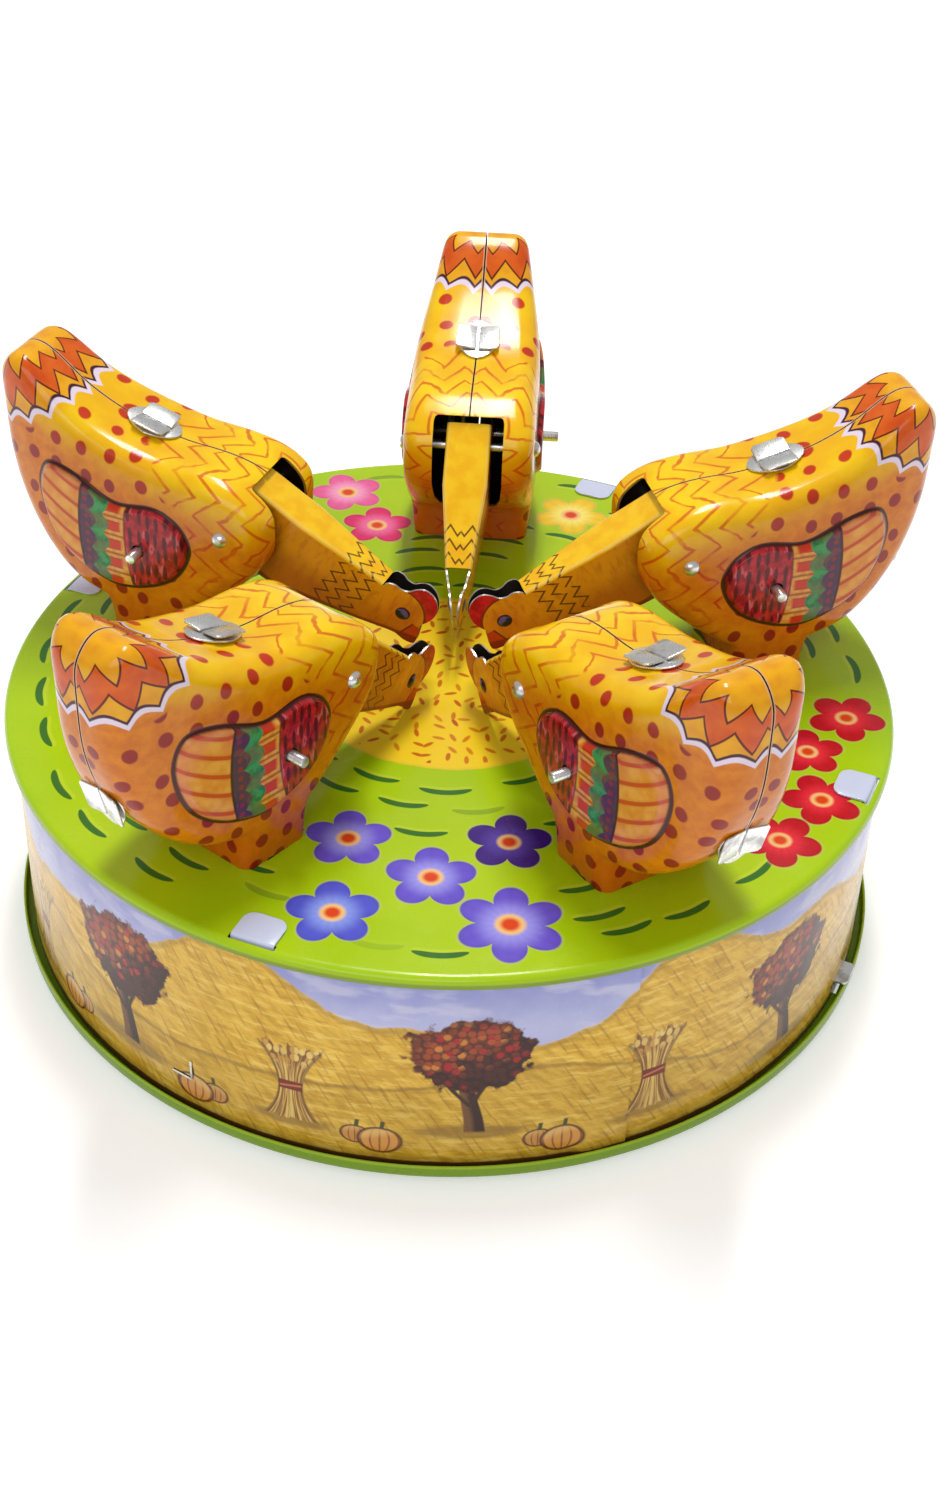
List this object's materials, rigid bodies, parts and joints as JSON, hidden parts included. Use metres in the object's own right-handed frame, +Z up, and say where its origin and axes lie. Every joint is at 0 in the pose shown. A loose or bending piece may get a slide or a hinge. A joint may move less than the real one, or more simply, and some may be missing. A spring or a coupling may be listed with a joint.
{
  "type": "clockwork tin toy with pecking hens",
  "caption": "Clockwork tin drum with a ring of hens on its lid. Each hen's folded neck rocks on a rivet, pushed by a wire from a rocker under the lid, and pecks at printed grain.",
  "frame": {"origin": "centre of the pan's flat floor, on the surface that the toy stands on", "axes": "+Z up; -Y towards the viewer of the picture; the key is at +Y"},
  "size_m": [0.1846, 0.1925, 0.1068],
  "materials": {
    "green_tin": "gloss lithographed tinplate",
    "band_print": "gloss lithographed tinplate",
    "printed_tin": "gloss lithographed tinplate",
    "bright_steel": "bright plated",
    "motor_steel": "plain",
    "brass": "plain"
  },
  "bodies": {
    "toy_base": {"lid": "green_tin", "side_band": "band_print", "base_pan": "green_tin", "cam_bridge": "motor_steel", "motor_front_plate": "motor_steel", "motor_back_plate": "motor_steel", "mainspring": "bright_steel", "camshaft_step": "brass", "key_bush": "bright_steel", "lever_post": "bright_steel", "back_hen_left_half": "printed_tin", "back_hen_right_half": "printed_tin", "back_hen_neck_rivet": "bright_steel", "back_hen_stop_rod": "bright_steel", "back_left_hen_left_half": "printed_tin", "back_left_hen_right_half": "printed_tin", "back_left_hen_neck_rivet": "bright_steel", "back_left_hen_stop_rod": "bright_steel", "front_left_hen_left_half": "printed_tin", "front_left_hen_right_half": "printed_tin", "front_left_hen_neck_rivet": "bright_steel", "front_left_hen_stop_rod": "bright_steel", "front_right_hen_left_half": "printed_tin", "front_right_hen_right_half": "printed_tin", "front_right_hen_neck_rivet": "bright_steel", "front_right_hen_stop_rod": "bright_steel", "back_right_hen_left_half": "printed_tin", "back_right_hen_right_half": "printed_tin", "back_right_hen_neck_rivet": "bright_steel", "back_right_hen_stop_rod": "bright_steel"},
    "back_neck": {"back_hen_neck": "printed_tin"},
    "back_wire": {"back_push_wire": "bright_steel"},
    "back_rocker": {"back_rocker": "bright_steel"},
    "back_left_neck": {"back_left_hen_neck": "printed_tin"},
    "back_left_wire": {"back_left_push_wire": "bright_steel"},
    "back_left_rocker": {"back_left_rocker": "bright_steel"},
    "front_left_neck": {"front_left_hen_neck": "printed_tin"},
    "front_left_wire": {"front_left_push_wire": "bright_steel"},
    "front_left_rocker": {"front_left_rocker": "bright_steel"},
    "front_right_neck": {"front_right_hen_neck": "printed_tin"},
    "front_right_wire": {"front_right_push_wire": "bright_steel"},
    "front_right_rocker": {"front_right_rocker": "bright_steel"},
    "back_right_neck": {"back_right_hen_neck": "printed_tin"},
    "back_right_wire": {"back_right_push_wire": "bright_steel"},
    "back_right_rocker": {"back_right_rocker": "bright_steel"},
    "winder": {"winding_key": "bright_steel", "winding_arbor": "bright_steel", "ratchet_wheel": "motor_steel"},
    "great_wheel": {"great_wheel": "brass"},
    "click": {"click": "bright_steel"},
    "second_arbor": {"second_arbor": "brass"},
    "fast_arbor": {"fast_arbor": "brass", "fly_fan": "motor_steel"},
    "camshaft": {"camshaft": "motor_steel", "face_cam": "brass"},
    "starting_lever": {"starting_lever": "bright_steel"}
  },
  "joints": [
    {"name": "back_neck_peck", "type": "hinge", "parent": "toy_base", "child": "back_neck", "pos_m": [0, 0.044, 0.0795], "axis": [-1, 0, 0], "range_deg": [-4, 10]},
    {"name": "back_wire_push", "type": "slide", "parent": "toy_base", "child": "back_wire", "axis": [0, 0, 1], "range_m": [-0.00245, 0.00099]},
    {"name": "back_rocker_tilt", "type": "hinge", "parent": "toy_base", "child": "back_rocker", "pos_m": [0, 0.035, 0.0425], "axis": [-1, 0, 0], "range_deg": [-2.47, 6.13]},
    {"name": "back_left_neck_peck", "type": "hinge", "parent": "toy_base", "child": "back_left_neck", "pos_m": [-0.04185, 0.0136, 0.0795], "axis": [-0.309, -0.9511, 0], "range_deg": [-11.5, 2.5]},
    {"name": "back_left_wire_push", "type": "slide", "parent": "toy_base", "child": "back_left_wire", "axis": [0, 0, 1], "range_m": [-0.00062, 0.00282]},
    {"name": "back_left_rocker_tilt", "type": "hinge", "parent": "toy_base", "child": "back_left_rocker", "pos_m": [-0.03329, 0.01082, 0.0425], "axis": [-0.309, -0.9511, 0], "range_deg": [-7.05, 1.55]},
    {"name": "front_left_neck_peck", "type": "hinge", "parent": "toy_base", "child": "front_left_neck", "pos_m": [-0.02586, -0.0356, 0.0795], "axis": [0.809, -0.5878, 0], "range_deg": [0, 14]},
    {"name": "front_left_wire_push", "type": "slide", "parent": "toy_base", "child": "front_left_wire", "axis": [0, 0, 1], "range_m": [-0.00343, 0]},
    {"name": "front_left_rocker_tilt", "type": "hinge", "parent": "toy_base", "child": "front_left_rocker", "pos_m": [-0.02057, -0.02832, 0.0425], "axis": [0.809, -0.5878, 0], "range_deg": [0, 8.58]},
    {"name": "front_right_neck_peck", "type": "hinge", "parent": "toy_base", "child": "front_right_neck", "pos_m": [0.02586, -0.0356, 0.0795], "axis": [0.809, 0.5878, 0], "range_deg": [0, 14]},
    {"name": "front_right_wire_push", "type": "slide", "parent": "toy_base", "child": "front_right_wire", "axis": [0, 0, 1], "range_m": [-0.00343, 0]},
    {"name": "front_right_rocker_tilt", "type": "hinge", "parent": "toy_base", "child": "front_right_rocker", "pos_m": [0.02057, -0.02832, 0.0425], "axis": [0.809, 0.5878, 0], "range_deg": [0, 8.58]},
    {"name": "back_right_neck_peck", "type": "hinge", "parent": "toy_base", "child": "back_right_neck", "pos_m": [0.04185, 0.0136, 0.0795], "axis": [-0.309, 0.9511, 0], "range_deg": [-11, 3]},
    {"name": "back_right_wire_push", "type": "slide", "parent": "toy_base", "child": "back_right_wire", "axis": [0, 0, 1], "range_m": [-0.00074, 0.0027]},
    {"name": "back_right_rocker_tilt", "type": "hinge", "parent": "toy_base", "child": "back_right_rocker", "pos_m": [0.03329, 0.01082, 0.0425], "axis": [-0.309, 0.9511, 0], "range_deg": [-6.75, 1.85]},
    {"name": "key_turn", "type": "hinge", "parent": "toy_base", "child": "winder", "pos_m": [-0.004, 0.09, 0.0195], "axis": [0, 1, 0], "continuous": true},
    {"name": "great_wheel_turn", "type": "hinge", "parent": "toy_base", "child": "great_wheel", "pos_m": [-0.004, 0.0216, 0.0195], "axis": [0, 1, 0], "continuous": true},
    {"name": "second_arbor_turn", "type": "hinge", "parent": "toy_base", "child": "second_arbor", "pos_m": [0.00728, 0.03, 0.01571], "axis": [0, 1, 0], "continuous": true},
    {"name": "fast_arbor_turn", "type": "hinge", "parent": "toy_base", "child": "fast_arbor", "pos_m": [0, 0.03, 0.0074], "axis": [0, 1, 0], "continuous": true},
    {"name": "camshaft_turn", "type": "hinge", "parent": "toy_base", "child": "camshaft", "pos_m": [0, 0, 0.03], "axis": [0, 0, 1], "continuous": true},
    {"name": "click_lift", "type": "hinge", "parent": "great_wheel", "child": "click", "pos_m": [-0.00085, 0.0231, 0.02496], "axis": [0, 1, 0], "range_deg": [-10, 0]},
    {"name": "starting_lever_swing", "type": "hinge", "parent": "toy_base", "child": "starting_lever", "pos_m": [0.05826, -0.02121, 0.0048], "axis": [0, 0, 1], "range_deg": [-5, 5]}
  ],
  "couplings": [
    {"joint": "back_wire_push", "follows": "back_neck_peck", "m_per_rad": -0.014},
    {"joint": "back_rocker_tilt", "follows": "back_neck_peck", "ratio": 0.61147},
    {"joint": "back_left_wire_push", "follows": "back_left_neck_peck", "m_per_rad": -0.014},
    {"joint": "back_left_rocker_tilt", "follows": "back_left_neck_peck", "ratio": 0.61147},
    {"joint": "front_left_wire_push", "follows": "front_left_neck_peck", "m_per_rad": -0.014},
    {"joint": "front_left_rocker_tilt", "follows": "front_left_neck_peck", "ratio": 0.61147},
    {"joint": "front_right_wire_push", "follows": "front_right_neck_peck", "m_per_rad": -0.014},
    {"joint": "front_right_rocker_tilt", "follows": "front_right_neck_peck", "ratio": 0.61147},
    {"joint": "back_right_wire_push", "follows": "back_right_neck_peck", "m_per_rad": -0.014},
    {"joint": "back_right_rocker_tilt", "follows": "back_right_neck_peck", "ratio": 0.61147},
    {"joint": "great_wheel_turn", "follows": "key_turn", "ratio": 1},
    {"joint": "second_arbor_turn", "follows": "key_turn", "ratio": -3},
    {"joint": "fast_arbor_turn", "follows": "key_turn", "ratio": 8.1429},
    {"joint": "camshaft_turn", "follows": "key_turn", "ratio": -2.85}
  ]
}
